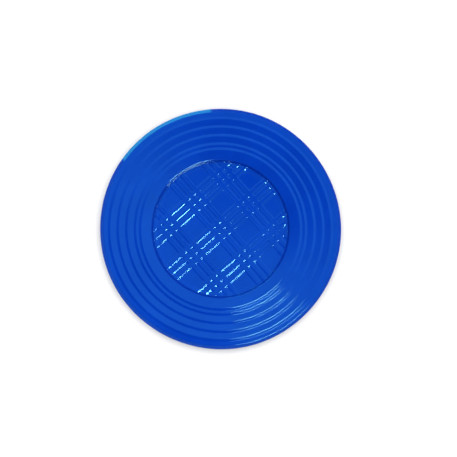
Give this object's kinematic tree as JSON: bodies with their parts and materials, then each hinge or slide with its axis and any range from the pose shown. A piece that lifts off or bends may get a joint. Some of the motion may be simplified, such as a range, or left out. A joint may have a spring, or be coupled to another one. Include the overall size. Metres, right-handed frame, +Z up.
{
  "type": "disposable plate",
  "caption": "Round moulded plastic plate with a plaid relief on its flat floor, a ringed rim and a turned-down lip; it holds a serving of food and stacks with others.",
  "frame": {"origin": "centre of the flat underside of the floor, on the surface that the plate stands on", "axes": "+Z up, along the plate's axis, towards the eating side; the plaid's bands run 41.5 degrees from +X and +Y"},
  "size_m": [0.22, 0.22, 0.013],
  "materials": {
    "plastic": "glossy moulded polystyrene"
  },
  "bodies": {
    "root": {"plate": "plastic"}
  },
  "joints": []
}
